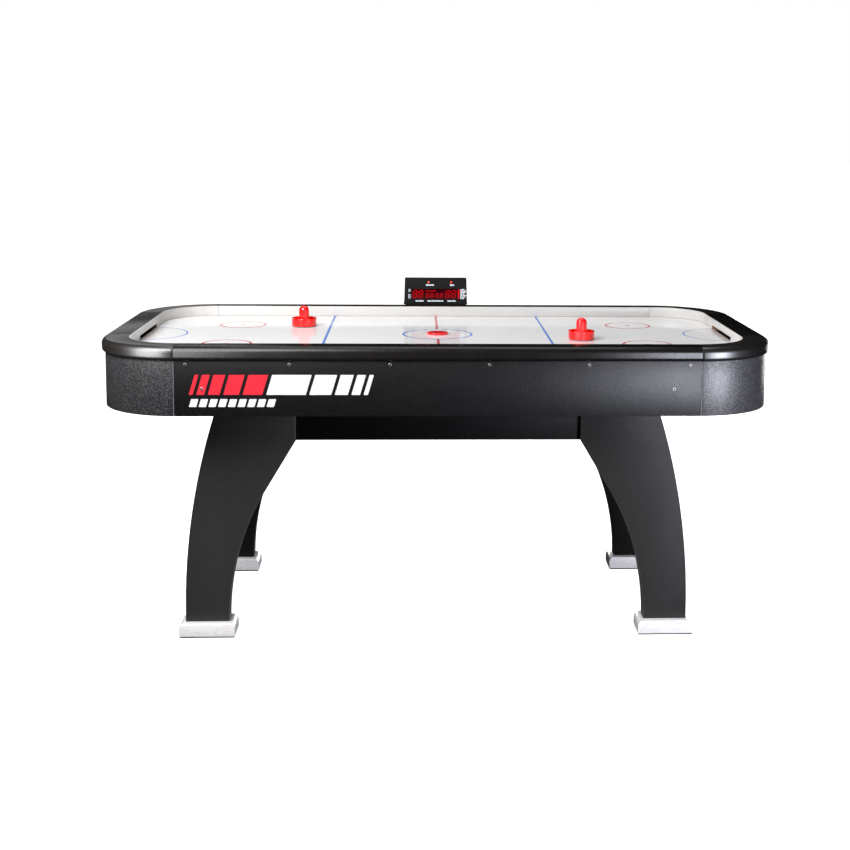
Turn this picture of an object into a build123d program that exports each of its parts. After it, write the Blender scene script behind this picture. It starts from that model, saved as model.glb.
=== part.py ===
from build123d import *
import math
import os

# A free-standing air hockey table. X runs along the rink, Y across it, Z up from the floor.
# The origin is on the floor under the middle of the table. All sizes are in millimetres.

# ---- driving dimensions ----
LENGTH = 1830.0          # outside of the top rails, along X
WIDTH = 914.0            # outside of the top rails, along Y
RAIL_TOP = 825.0         # height of the rail's flat top
RAIL_THICK = 38.0
RAIL_CORNER_R = 225.0    # outside radius of the rail corners
SIDE_RAIL_W = 60.0       # front and back rail, without the liner
END_RAIL_W = 75.0        # left and right rail, without the liner
RINK_CORNER_R = 150.0    # inside radius of the rail corners
BULLNOSE_TOP = 17.0
BULLNOSE_BOTTOM = 10.0
SEAM = 0.6               # gap between neighbouring rail, apron and liner pieces
WALL_H = 32.0            # playfield surface up to the rail top
LINER_T = 3.0
PLAYFIELD_T = 12.0
APRON_H = 147.0
APRON_T = 15.0
APRON_INSET = 9.0        # rail edge to apron face
BOARD_H = 50.0           # plenum depth
BOARD_T = 15.0
PLENUM_BOTTOM_T = 6.0
PLENUM_HALF = (790.0, 345.0)
BRACE_SLOT = (120.0, 20.0)       # air passage through a plenum brace, width and height
BRACE_SLOT_Y = 170.0
BRACE_SLOT_LIFT = 15.0   # plenum floor up to the passage
CLEAT_H = 30.0
CLEAR = 0.3              # gap that keeps curved neighbours apart

GOAL_W = 254.0
GOAL_H = 11.5
GOAL_DEPTH = 46.0
RETURN_W = 180.0         # puck return opening in the end apron
RETURN_H = 66.0
GOAL_BOX_WALL = 3.0

FOOT = (153.0, 87.0, 37.0)
FOOT_X = 631.5           # centre of a foot and of a leg's lower end
FOOT_Y = 293.0
FOOT_END_ROUND = 15.0    # upper edge of a foot's two ends
FOOT_ROUND = 4.0         # its other edges
PAD_T = 3.0
LEG_T = 46.0
LEG_BOTTOM_W = 119.0
LEG_TOP_OUTER_X = 600.0  # outer edge where it goes up behind the apron
LEG_TOP_INNER_X = 388.0  # inner edge beside the skirt
LEG_OUTER_ARC_Z = 70.0   # the outer arc starts upright here
LEG_INNER_ARC = (470.0, 408.0)   # x and z where the inner arc ends in a straight run
SKIRT_DROP = 95.0        # skirt's lower edge below the apron
SKIRT_T = 15.0
SKIRT_INSET = 11.0       # leg face to skirt face
STRETCHER_X = 560.0
STRETCHER_H = 150.0

BRACKET_SHIFT = -20.0    # bracket centre from the middle of the leg's top
BRACKET_W = 110.0
BRACKET_LEG = 55.0
BRACKET_PLATE = 3.0
BOLT_R = 4.0
BOLT_FIT = 0.05          # radial clearance of bolts, screws and pivots, and behind the liners
BOLT_LENGTH = 30.0
BOLT_HEAD_T = 5.5

SCREW_X = (130.0, 392.0, 660.0)
SCREW_DROP = 10.0
MID_SCREW_X = 618.0
MID_SCREW_DROP = 74.0
SCREW_HEAD_R = 4.2
SCREW_HEAD_T = 2.6
SCREW_SHANK_R = 1.75
SCREW_LENGTH = 12.0

FAN_SIZE = 140.0
FAN_DEPTH = 38.0
FAN_DUCT_R = 66.0
FAN_HUB_R = 24.0
FAN_TIP_GAP = 1.5
FAN_BLADES = 7
FAN_PITCH = 38.0         # blade angle in degrees

PANEL_X = 560.0          # power panel on the back apron
PANEL_SIZE = (78.0, 46.0, 2.5)
SWITCH_OFFSET = 18.0
JACK_R = 2.9
ROCKER = (12.0, 9.0, 19.0)
ROCKER_TILT = 6.0

BOARD_W = 204.0          # scoreboard at its foot
BOARD_TOP_W = 200.0
BOARD_TALL = 84.0
BOARD_DEEP = 30.0
BOARD_FACE_Y = 418.0
BRACKET_T = 4.0
WINDOW = (154.0, 34.0, 2.0)
WINDOW_DROP = 51.0       # scoreboard top to window centre
BUTTON_X = (-23.0, 50.0)
BUTTON_DROP = 12.5
BUTTON_R = 3.8
BUTTON_TRAVEL = 1.2
BUTTON_GAP = 0.06

PUCK_R = 31.5
PUCK_T = 6.0
PUSHER_R = 37.5
PUSHER_RIM_H = 26.0
PUSHER_TALL = 63.0
KNOB_R = 15.8
FELT_R = 35.0
FELT_T = 1.6
PUSHER_PLACES = {"left": (-401.0, 162.0), "right": (411.0, -99.0)}

# ---- derived dimensions ----
HALF_L = LENGTH / 2
HALF_W = WIDTH / 2
RAIL_BOTTOM = RAIL_TOP - RAIL_THICK
PLAY_Z = RAIL_TOP - WALL_H
PLAYFIELD_BOTTOM = PLAY_Z - PLAYFIELD_T
PLENUM_BOTTOM = PLAYFIELD_BOTTOM - BOARD_H - PLENUM_BOTTOM_T
APRON_TOP = RAIL_BOTTOM
APRON_BOTTOM = APRON_TOP - APRON_H
SKIRT_BOTTOM = APRON_BOTTOM - SKIRT_DROP
SEAM_X = HALF_L - RAIL_CORNER_R
SEAM_Y = HALF_W - RAIL_CORNER_R
APRON_X = HALF_L - APRON_INSET
APRON_Y = HALF_W - APRON_INSET
RAIL_IN_X = HALF_L - END_RAIL_W
RAIL_IN_Y = HALF_W - SIDE_RAIL_W
FOOT_TOP = PAD_T + FOOT[2]
LEG_OUTER_X = FOOT_X + LEG_BOTTOM_W / 2
LEG_INNER_X = FOOT_X - LEG_BOTTOM_W / 2
LEG_FACE_Y = FOOT_Y + LEG_T / 2
LEG_BACK_Y = FOOT_Y - LEG_T / 2
LEG_TOP = PLENUM_BOTTOM
BRACKET_X = (LEG_TOP_INNER_X + LEG_TOP_OUTER_X) / 2 + BRACKET_SHIFT
SIDES = {"front": -1, "back": 1}
ENDS = {"left": -1, "right": 1}


def save(name, shape):
    """Write one node's STEP file."""
    export_step(shape, os.path.join("parts", name + ".step"))


def block(low, high):
    """Box between two opposite corners."""
    size = [b - a for a, b in zip(low, high)]
    middle = [(a + b) / 2 for a, b in zip(low, high)]
    return Pos(*middle) * Box(*size)


def slab(half_x, half_y, corner_r, bottom, top):
    """Upright prism with a rounded rectangle as its plan."""
    outline = RectangleRounded(2 * half_x, 2 * half_y, corner_r)
    return Pos(0, 0, bottom) * extrude(outline, top - bottom)


def disc(radius, bottom, top, place=(0, 0)):
    """Upright cylinder between two heights."""
    return Pos(place[0], place[1], (bottom + top) / 2) * Cylinder(radius, top - bottom)


def rod_y(radius, y_from, y_to, x, z):
    """Cylinder along Y between two depths."""
    length = abs(y_to - y_from)
    return Pos(x, (y_from + y_to) / 2, z) * Rot(90, 0, 0) * Cylinder(radius, length)


def quarter(x_sign, y_sign, bottom, top):
    """Region of space outside a corner's two seams."""
    near_x = SEAM_X + SEAM / 2
    near_y = SEAM_Y + SEAM / 2
    xs = sorted((x_sign * near_x, x_sign * LENGTH))
    ys = sorted((y_sign * near_y, y_sign * WIDTH))
    return block((xs[0], ys[0], bottom), (xs[1], ys[1], top))


def side_zone(sign, bottom, top):
    """Region of space between two corners, on the front or the back."""
    half = SEAM_X - SEAM / 2
    ys = sorted((sign * SEAM_Y, sign * WIDTH))
    return block((-half, ys[0], bottom), (half, ys[1], top))


def end_zone(sign, bottom, top):
    """Region of space between two corners, on the left or the right."""
    half = SEAM_Y - SEAM / 2
    xs = sorted((sign * SEAM_X, sign * LENGTH))
    return block((xs[0], -half, bottom), (xs[1], half, top))


def goal_cut(sign, bottom, top, depth):
    """Space of one goal slot, from inside the rink to a depth in the end rail."""
    xs = sorted((sign * (RAIL_IN_X - 4 * LINER_T), sign * (RAIL_IN_X + depth)))
    return block((xs[0], -GOAL_W / 2, bottom), (xs[1], GOAL_W / 2, top))


# ---- top rails, wall liners and aprons: one ring each, cut at the corner seams ----
def rail_ring():
    """Whole top rail with a bullnose around its outside."""
    ring = slab(HALF_L, HALF_W, RAIL_CORNER_R, RAIL_BOTTOM, RAIL_TOP)

    def outside(height):
        at_height = [e for e in ring.edges() if abs(e.center().Z - height) < 0.01]
        return ShapeList(at_height)

    ring = fillet(outside(RAIL_TOP), BULLNOSE_TOP)
    ring = fillet(outside(RAIL_BOTTOM), BULLNOSE_BOTTOM)
    return ring - slab(RAIL_IN_X, RAIL_IN_Y, RINK_CORNER_R, RAIL_BOTTOM - 1, RAIL_TOP + 1)


def liner_ring():
    """Smooth wall around the playfield, glued to the inside of the rail."""
    outer = slab(RAIL_IN_X - BOLT_FIT, RAIL_IN_Y - BOLT_FIT, RINK_CORNER_R, PLAY_Z, RAIL_TOP - 0.5)
    inner_r = RINK_CORNER_R - LINER_T
    inner = slab(RAIL_IN_X - LINER_T, RAIL_IN_Y - LINER_T, inner_r, PLAY_Z - 1, RAIL_TOP)
    return outer - inner


def apron_ring():
    """Upright panels below the rail."""
    outer_r = RAIL_CORNER_R - APRON_INSET
    outer = slab(APRON_X, APRON_Y, outer_r, APRON_BOTTOM, APRON_TOP)
    inner = slab(APRON_X - APRON_T, APRON_Y - APRON_T, outer_r - APRON_T, APRON_BOTTOM - 1, APRON_TOP + 1)
    return outer - inner


def screw_places():
    """X and Z of the screws in a side apron."""
    places = [(sign * x, APRON_TOP - SCREW_DROP) for x in SCREW_X for sign in (-1, 1)]
    places += [(sign * MID_SCREW_X, APRON_TOP - MID_SCREW_DROP) for sign in (-1, 1)]
    return places


def make_screws():
    """Socket-head screws through both side aprons, as one group."""
    screws = []
    for sign in SIDES.values():
        face = sign * APRON_Y
        for x, z in screw_places():
            head = rod_y(SCREW_HEAD_R, face, face + sign * SCREW_HEAD_T, x, z)
            rim = head.edges().filter_by(GeomType.CIRCLE).sort_by(Axis.Y)[-1 if sign > 0 else 0]
            head = fillet(rim, SCREW_HEAD_T * 0.45)
            socket_depth = SCREW_HEAD_T * 0.6
            socket = Rot(90, 0, 0) * extrude(RegularPolygon(1.9, 6), 2 * socket_depth)
            socket = Pos(x, face + sign * SCREW_HEAD_T + socket_depth, z) * socket
            shank = rod_y(SCREW_SHANK_R, face, face - sign * SCREW_LENGTH, x, z)
            screws.append((head + shank) - socket)
    return Compound(children=screws)


def screw_holes(sign):
    """Blind holes for the screws of one side apron."""
    face = sign * APRON_Y
    radius = SCREW_SHANK_R + BOLT_FIT
    holes = [rod_y(radius, face + sign, face - sign * (SCREW_LENGTH + 0.5), x, z) for x, z in screw_places()]
    return Compound(children=holes)


def make_rails():
    ring = rail_ring()
    low, high = RAIL_BOTTOM - 1, RAIL_TOP + 1
    for name, sign in SIDES.items():
        save("rail_" + name, ring & side_zone(sign, low, high))
    for name, sign in ENDS.items():
        piece = ring & end_zone(sign, low, high)
        save("rail_" + name, piece - goal_cut(sign, RAIL_BOTTOM - 1, PLAY_Z + GOAL_H, GOAL_DEPTH))
    for side, y_sign in SIDES.items():
        for end, x_sign in ENDS.items():
            save("rail_corner_" + side + "_" + end, ring & quarter(x_sign, y_sign, low, high))


def make_liners():
    ring = liner_ring()
    low, high = PLAY_Z - 1, RAIL_TOP + 1
    for name, sign in SIDES.items():
        save("liner_" + name, ring & side_zone(sign, low, high))
    for name, sign in ENDS.items():
        piece = ring & end_zone(sign, low, high)
        save("liner_" + name, piece - goal_cut(sign, PLAY_Z - 1, PLAY_Z + GOAL_H, GOAL_DEPTH))
    corners = [ring & quarter(x, y, low, high) for x in (-1, 1) for y in (-1, 1)]
    save("liner_corners", Compound(children=[c.solid() for c in corners]))


def panel_cut():
    """Room in the back apron for the power panel's barrels and switch."""
    z = APRON_TOP - APRON_H / 2
    width = PANEL_SIZE[0] - 12
    height = PANEL_SIZE[1] - 14
    low = (PANEL_X - width / 2, APRON_Y - APRON_T - 1, z - height / 2)
    high = (PANEL_X + width / 2, APRON_Y + 1, z + height / 2)
    return block(low, high)


def make_aprons():
    ring = apron_ring()
    low, high = APRON_BOTTOM - 1, APRON_TOP + 1
    for name, sign in SIDES.items():
        piece = (ring & side_zone(sign, low, high)) - screw_holes(sign)
        if name == "back":
            piece = piece - panel_cut()
        save("apron_" + name, piece)
    for name, sign in ENDS.items():
        xs = sorted((sign * (APRON_X - APRON_T - 1), sign * (APRON_X + 1)))
        bottom = APRON_BOTTOM + APRON_T
        opening = block((xs[0], -RETURN_W / 2, bottom), (xs[1], RETURN_W / 2, bottom + RETURN_H))
        save("apron_" + name, (ring & end_zone(sign, low, high)) - opening)
    for side, y_sign in SIDES.items():
        for end, x_sign in ENDS.items():
            save("apron_corner_" + side + "_" + end, ring & quarter(x_sign, y_sign, low, high))


# ---- playfield and the air box under it ----
def make_playfield():
    field = slab(RAIL_IN_X - CLEAR, RAIL_IN_Y - CLEAR, RINK_CORNER_R - CLEAR, PLAYFIELD_BOTTOM, PLAY_Z)
    save("playfield", field)


def make_plenum():
    half_x, half_y = PLENUM_HALF
    low = PLAYFIELD_BOTTOM - BOARD_H
    boards = []
    for sign in (-1, 1):
        ys = sorted((sign * half_y, sign * (half_y - BOARD_T)))
        boards.append(block((-half_x, ys[0], low), (half_x, ys[1], PLAYFIELD_BOTTOM)))
        xs = sorted((sign * half_x, sign * (half_x - BOARD_T)))
        inner_y = half_y - BOARD_T
        boards.append(block((xs[0], -inner_y, low), (xs[1], inner_y, PLAYFIELD_BOTTOM)))
    save("plenum_boards", Compound(children=boards))

    brace_y = half_y - BOARD_T
    braces = []
    for x in (-half_x / 2, half_x / 2):
        brace = block((x - BOARD_T / 2, -brace_y, low), (x + BOARD_T / 2, brace_y, PLAYFIELD_BOTTOM))
        for y in (-BRACE_SLOT_Y, BRACE_SLOT_Y):
            slot_low = (x - BOARD_T, y - BRACE_SLOT[0] / 2, low + BRACE_SLOT_LIFT)
            slot_high = (x + BOARD_T, y + BRACE_SLOT[0] / 2, low + BRACE_SLOT_LIFT + BRACE_SLOT[1])
            brace -= block(slot_low, slot_high)
        braces.append(brace)
    save("plenum_braces", Compound(children=braces))

    panel = block((-half_x, -half_y, PLENUM_BOTTOM), (half_x, half_y, low))
    save("plenum_bottom", panel - disc(FAN_DUCT_R, PLENUM_BOTTOM - 1, low + 1))


def make_cleats():
    """Battens that carry the playfield's edge on the aprons and the goal boxes."""
    low = PLAYFIELD_BOTTOM - CLEAT_H
    cleats = []
    for sign in (-1, 1):
        ys = sorted((sign * (APRON_Y - APRON_T), sign * (RAIL_IN_Y - 20)))
        cleats.append(block((-SEAM_X, ys[0], low), (SEAM_X, ys[1], PLAYFIELD_BOTTOM)))
        xs = sorted((sign * (PLENUM_HALF[0] + 12), sign * RAIL_IN_X))
        cleats.append(block((xs[0], -SEAM_Y, low), (xs[1], SEAM_Y, PLAYFIELD_BOTTOM)))
    save("playfield_cleats", Compound(children=cleats))


def make_goal_boxes():
    """Trays behind the end aprons that catch the puck below each goal slot."""
    half = GOAL_W / 2 + 2 * GOAL_BOX_WALL
    floor = APRON_BOTTOM + APRON_T - GOAL_BOX_WALL
    for name, sign in ENDS.items():
        xs = sorted((sign * (RAIL_IN_X + CLEAR), sign * (APRON_X - APRON_T)))
        tray = block((xs[0], -half, floor), (xs[1], half, RAIL_BOTTOM))
        hollow_xs = sorted((sign * (RAIL_IN_X + CLEAR + GOAL_BOX_WALL), sign * LENGTH))
        hollow_half = half - GOAL_BOX_WALL
        hollow = block((hollow_xs[0], -hollow_half, floor + GOAL_BOX_WALL),
                       (hollow_xs[1], hollow_half, RAIL_TOP))
        save("goal_box_" + name, tray - hollow)


# ---- legs ----
def leg_plate():
    """One leg's flat arched panel, drawn for the right end, in the XZ plane."""
    inner_end = Vector(*LEG_INNER_ARC)
    outer_start = (LEG_OUTER_X, LEG_OUTER_ARC_Z)
    outer_end = (LEG_TOP_OUTER_X, APRON_BOTTOM)
    foot_inner = (LEG_INNER_X, FOOT_TOP)
    outline = Polyline((LEG_TOP_OUTER_X, APRON_BOTTOM), (LEG_TOP_OUTER_X, LEG_TOP),
                       (LEG_TOP_INNER_X, LEG_TOP), (LEG_TOP_INNER_X, SKIRT_BOTTOM), inner_end)
    outline += TangentArc(foot_inner, inner_end, tangent=(0, 1))
    outline += Polyline(foot_inner, (LEG_OUTER_X, FOOT_TOP), outer_start)
    outline += TangentArc(outer_start, outer_end, tangent=(0, 1))
    return extrude(Plane.XZ * make_face(outline), LEG_T / 2, both=True)


def make_legs():
    plate = leg_plate()
    foot = Pos(FOOT_X, 0, PAD_T + FOOT[2] / 2) * Box(*FOOT)
    top_edges = foot.faces().sort_by(Axis.Z)[-1].edges()
    foot = fillet(top_edges.filter_by(Axis.Y), FOOT_END_ROUND)
    foot = fillet(foot.faces().sort_by(Axis.Z)[-1].edges().filter_by(Axis.X), FOOT_ROUND)
    pad = Pos(FOOT_X, 0, PAD_T / 2) * Box(FOOT[0] - 4, FOOT[1] - 4, PAD_T)
    pads = []
    for side, y_sign in SIDES.items():
        for end, x_sign in ENDS.items():
            mirrored = [s if x_sign > 0 else mirror(s, about=Plane.YZ) for s in (plate, foot, pad)]
            leg, block_foot, rubber = [Pos(0, y_sign * FOOT_Y, 0) * s for s in mirrored]
            save("leg_" + side + "_" + end, leg - bolt_holes(x_sign, y_sign))
            save("foot_" + side + "_" + end, block_foot)
            pads.append(rubber)
    save("foot_pads", Compound(children=[p.solid() for p in pads]))


def bolt_spots(x_sign):
    """X and Z of the two bolts in a leg bracket."""
    z = PLENUM_BOTTOM - BRACKET_LEG * 0.6
    return [(x_sign * (BRACKET_X + dx), z) for dx in (-BRACKET_W / 4, BRACKET_W / 4)]


def bolt_holes(x_sign, y_sign):
    """Blind holes in the leg's inner face."""
    face = y_sign * LEG_BACK_Y
    deep = face + y_sign * (BOLT_LENGTH - BRACKET_PLATE + 0.5)
    holes = [rod_y(BOLT_R + BOLT_FIT, face - y_sign, deep, x, z) for x, z in bolt_spots(x_sign)]
    return Compound(children=holes)


def make_leg_hardware():
    """Steel angles under the air box and the bolts that hold the legs to them."""
    brackets = []
    bolts = []
    top = PLENUM_BOTTOM
    for y_sign in SIDES.values():
        face = y_sign * LEG_BACK_Y
        for x_sign in ENDS.values():
            x0 = x_sign * BRACKET_X - BRACKET_W / 2
            x1 = x0 + BRACKET_W
            plate_ys = sorted((face, face - y_sign * BRACKET_PLATE))
            flange_ys = sorted((face, face - y_sign * BRACKET_LEG))
            angle = block((x0, plate_ys[0], top - BRACKET_LEG), (x1, plate_ys[1], top))
            angle += block((x0, flange_ys[0], top - BRACKET_PLATE), (x1, flange_ys[1], top))
            for x, z in bolt_spots(x_sign):
                inner = face - y_sign * BRACKET_PLATE
                angle -= rod_y(BOLT_R + BOLT_FIT, face + y_sign, inner - y_sign, x, z)
                shank = rod_y(BOLT_R, inner, inner + y_sign * BOLT_LENGTH, x, z)
                head = extrude(RegularPolygon(BOLT_R * 1.85, 6), BOLT_HEAD_T / 2, both=True)
                head = Pos(x, inner - y_sign * BOLT_HEAD_T / 2, z) * Rot(90, 0, 0) * head
                bolts.append(shank + head)
            brackets.append(angle)
    save("leg_brackets", Compound(children=brackets))
    save("leg_bolts", Compound(children=bolts))


def make_skirts():
    """Panels between the legs: long ones under the sides, short ones across the ends."""
    for name, sign in SIDES.items():
        face = LEG_FACE_Y - SKIRT_INSET
        ys = sorted((sign * face, sign * (face - SKIRT_T)))
        low = (-LEG_TOP_INNER_X, ys[0], SKIRT_BOTTOM)
        save("skirt_" + name, block(low, (LEG_TOP_INNER_X, ys[1], PLENUM_BOTTOM)))
    for name, sign in ENDS.items():
        xs = sorted((sign * STRETCHER_X, sign * (STRETCHER_X + SKIRT_T)))
        low = (xs[0], -LEG_BACK_Y, PLENUM_BOTTOM - STRETCHER_H)
        save("stretcher_" + name, block(low, (xs[1], LEG_BACK_Y, PLENUM_BOTTOM)))


# ---- blower ----
def make_blower():
    top = PLENUM_BOTTOM
    bottom = top - FAN_DEPTH
    middle = (top + bottom) / 2
    frame = Pos(0, 0, middle) * Box(FAN_SIZE, FAN_SIZE, FAN_DEPTH)
    frame = fillet(frame.edges().filter_by(Axis.Z), 6.0)
    frame -= disc(FAN_DUCT_R, bottom - 1, top + 1)
    strut_t = 3.0
    struts = disc(FAN_HUB_R, bottom, bottom + strut_t)
    for angle in (45, 135):
        struts += Rot(0, 0, angle) * Pos(0, 0, bottom + strut_t / 2) * Box(2 * FAN_DUCT_R + 4, 6, strut_t)
    pivot_r = 3.0
    struts += disc(pivot_r, bottom, top - 6)
    save("blower_housing", frame + struts)

    hub_bottom = bottom + strut_t + 1.5
    hub_top = top - 4
    tip_r = FAN_DUCT_R - FAN_TIP_GAP
    hub = disc(FAN_HUB_R, hub_bottom, hub_top)
    blade_h = hub_top - hub_bottom - 3
    blade_len = tip_r + 4 - FAN_HUB_R / 2
    wheel = hub
    for i in range(FAN_BLADES):
        blade = Pos(FAN_HUB_R / 2 + blade_len / 2, 0, 0) * Rot(FAN_PITCH, 0, 0) * Box(blade_len, 2.0, 60)
        wheel += Rot(0, 0, i * 360 / FAN_BLADES) * Pos(0, 0, (hub_bottom + hub_top) / 2) * blade
    middle_hub = (hub_bottom + hub_top) / 2
    wheel = wheel & disc(tip_r, middle_hub - blade_h / 2, middle_hub + blade_h / 2)
    wheel = (wheel + hub) - disc(pivot_r + BOLT_FIT, hub_bottom - 1, top - 5.5)
    save("blower_impeller", wheel)

    guard_t = 2.5
    guard = None
    for radius in (24, 40, 56, 68):
        ring = disc(radius, bottom - guard_t, bottom) - disc(radius - 2.5, bottom - guard_t - 1, bottom + 1)
        guard = ring if guard is None else guard + ring
    for angle in (0, 60, 120):
        bar = Box(2 * FAN_DUCT_R + 4, 3, guard_t)
        guard += Rot(0, 0, angle) * Pos(0, 0, bottom - guard_t / 2) * bar
    save("blower_guard", guard)


# ---- power panel ----
def make_power():
    z = APRON_TOP - APRON_H / 2
    width, height, thick = PANEL_SIZE
    plate = Pos(PANEL_X, APRON_Y + thick / 2, z) * Box(width, thick, height)
    plate = fillet(plate.edges().filter_by(Axis.Y), 5.0)
    collar = rod_y(9.0, APRON_Y - APRON_T + 1, APRON_Y + thick + 3, PANEL_X - SWITCH_OFFSET, z)
    socket = rod_y(JACK_R, APRON_Y - APRON_T + 3, APRON_Y + thick + 4, PANEL_X - SWITCH_OFFSET, z)
    switch_x = PANEL_X + SWITCH_OFFSET
    well_y = APRON_Y - APRON_T / 2
    well = Pos(switch_x, (well_y + APRON_Y) / 2, z) * Box(ROCKER[0] + 4, APRON_Y - well_y, ROCKER[2] + 6)
    hole = Pos(switch_x, APRON_Y, z) * Box(ROCKER[0] + 0.8, 12, ROCKER[2] + 2.6)
    save("power_panel", (plate + collar + well) - socket - hole)

    rocker = Box(*ROCKER)
    outer_edges = rocker.edges().filter_by(Axis.X).group_by(Axis.Y)[-1]
    rocker = fillet(outer_edges, 2.0)
    pivot_y = APRON_Y + 1.0
    save("power_switch", Pos(switch_x, pivot_y, z) * Rot(ROCKER_TILT, 0, 0) * rocker)


# ---- scoreboard ----
def make_scoreboard():
    foot_z = RAIL_TOP + BRACKET_T
    top_z = foot_z + BOARD_TALL
    depth_middle = BOARD_FACE_Y + BOARD_DEEP / 2
    half, half_top = BOARD_W / 2, BOARD_TOP_W / 2
    flare = 6.0
    outline = Polyline((-half - 2, foot_z), (half + 2, foot_z), (half, foot_z + flare), (half_top, top_z),
                       (-half_top, top_z), (-half, foot_z + flare), close=True)
    shell = Pos(0, depth_middle, 0) * extrude(Plane.XZ * make_face(outline), BOARD_DEEP / 2, both=True)
    shell = fillet(shell.edges().filter_by(Axis.Y), 1.5)
    window_z = top_z - WINDOW_DROP
    width, height, thick = WINDOW
    recess = Pos(0, BOARD_FACE_Y + thick / 2, window_z) * Box(width, thick + 0.01, height)
    cavity = Pos(0, BOARD_FACE_Y + 12, window_z) * Box(width - 8, 14, height - 6)
    shell = shell - recess - cavity
    button_z = top_z - BUTTON_DROP
    for x in BUTTON_X:
        shell -= rod_y(BUTTON_R + BUTTON_GAP, BOARD_FACE_Y - 1, BOARD_FACE_Y + 8, x, button_z)
    save("scoreboard_housing", shell)
    pane = Box(width - 0.4, thick, height - 0.4)
    save("scoreboard_window", Pos(0, BOARD_FACE_Y + thick / 2, window_z) * pane)
    digits_y = BOARD_FACE_Y + 9
    save("scoreboard_display", Pos(0, digits_y, window_z) * Box(width - 10, 3.0, height - 8))
    for name, x in zip(ENDS, BUTTON_X):
        button = rod_y(BUTTON_R, BOARD_FACE_Y - 2.2, BOARD_FACE_Y + 8 - BUTTON_TRAVEL - 0.5, x, button_z)
        tip = button.edges().filter_by(GeomType.CIRCLE).sort_by(Axis.Y)[0]
        save("score_button_" + name, fillet(tip, 0.8))
    bracket = Pos(0, depth_middle, RAIL_TOP + BRACKET_T / 2) * Box(BOARD_W - 8, BOARD_DEEP, BRACKET_T)
    save("scoreboard_bracket", fillet(bracket.edges().filter_by(Axis.Z), 3.0))


# ---- loose playing pieces ----
def make_puck():
    puck = disc(PUCK_R, PLAY_Z + CLEAR, PLAY_Z + CLEAR + PUCK_T)
    puck = fillet(puck.edges().filter_by(GeomType.CIRCLE), 1.2)
    save("puck", puck)


def pusher_profile():
    """Half section of a pusher: dished base with a raised rim, and a domed knob."""
    low = FELT_T
    rim_out, rim_in = PUSHER_R - 2.5, PUSHER_R - 6.5
    dish_z = PUSHER_RIM_H * 0.42
    neck = KNOB_R + 2.0
    shoulder = PUSHER_TALL - KNOB_R
    walls = Polyline((0, low), (PUSHER_R - 1.5, low), (PUSHER_R, low + 2), (PUSHER_R, PUSHER_RIM_H - 2.5),
                     (rim_out, PUSHER_RIM_H), (rim_in, PUSHER_RIM_H), (rim_in - 2.5, PUSHER_RIM_H - 2),
                     (neck, dish_z), (KNOB_R, dish_z + 2.5), (KNOB_R, shoulder))
    dome = TangentArc((KNOB_R, shoulder), (0, PUSHER_TALL), tangent=(0, 1))
    return make_face(walls + dome + Line((0, PUSHER_TALL), (0, low)))


def make_pushers():
    body = revolve(Plane.XZ * pusher_profile(), Axis.Z)
    felt = disc(FELT_R, 0, FELT_T)
    for name, (x, y) in PUSHER_PLACES.items():
        place = Pos(x, y, PLAY_Z + CLEAR)
        save("pusher_" + name, place * body)
        save("pusher_felt_" + name, place * felt)


def main():
    os.makedirs("parts", exist_ok=True)
    make_rails()
    make_liners()
    make_aprons()
    save("apron_screws", make_screws())
    make_playfield()
    make_plenum()
    make_cleats()
    make_goal_boxes()
    make_legs()
    make_leg_hardware()
    make_skirts()
    make_blower()
    make_power()
    make_scoreboard()
    make_puck()
    make_pushers()


main()
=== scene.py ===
"""Air hockey table: finished meshes, materials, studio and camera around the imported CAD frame."""
import math

import bmesh
import bpy
from mathutils import Matrix, Vector


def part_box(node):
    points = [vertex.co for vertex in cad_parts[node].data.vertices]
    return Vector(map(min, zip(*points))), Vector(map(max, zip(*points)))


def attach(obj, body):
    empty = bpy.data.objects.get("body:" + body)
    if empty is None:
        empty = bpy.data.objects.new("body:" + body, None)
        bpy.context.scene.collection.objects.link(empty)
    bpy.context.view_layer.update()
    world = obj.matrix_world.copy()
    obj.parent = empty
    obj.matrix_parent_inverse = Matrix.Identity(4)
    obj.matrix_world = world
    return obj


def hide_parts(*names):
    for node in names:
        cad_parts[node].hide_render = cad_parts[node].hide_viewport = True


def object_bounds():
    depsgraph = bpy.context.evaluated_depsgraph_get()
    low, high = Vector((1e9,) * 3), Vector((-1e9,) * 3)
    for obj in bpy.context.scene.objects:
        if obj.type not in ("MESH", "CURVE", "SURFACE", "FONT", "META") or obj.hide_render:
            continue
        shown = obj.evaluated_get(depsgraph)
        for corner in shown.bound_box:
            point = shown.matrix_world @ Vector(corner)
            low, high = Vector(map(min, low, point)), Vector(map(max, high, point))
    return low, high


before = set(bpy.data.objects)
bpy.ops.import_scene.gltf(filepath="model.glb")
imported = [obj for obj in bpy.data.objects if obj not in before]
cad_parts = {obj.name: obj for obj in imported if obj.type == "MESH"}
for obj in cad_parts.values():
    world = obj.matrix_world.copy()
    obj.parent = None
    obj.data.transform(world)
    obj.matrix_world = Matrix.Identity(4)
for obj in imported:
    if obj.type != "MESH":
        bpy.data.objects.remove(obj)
cad_low, cad_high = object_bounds()

# Everything is in metres, in the frame's axes: X along the rink, Y across it, Z up from the floor.
MM = 0.001
TABLE = "table"
SIDES = {"front": -1, "back": 1}
ENDS = {"left": -1, "right": 1}
CORNERS = [(side, end) for side in SIDES for end in ENDS]

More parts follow.
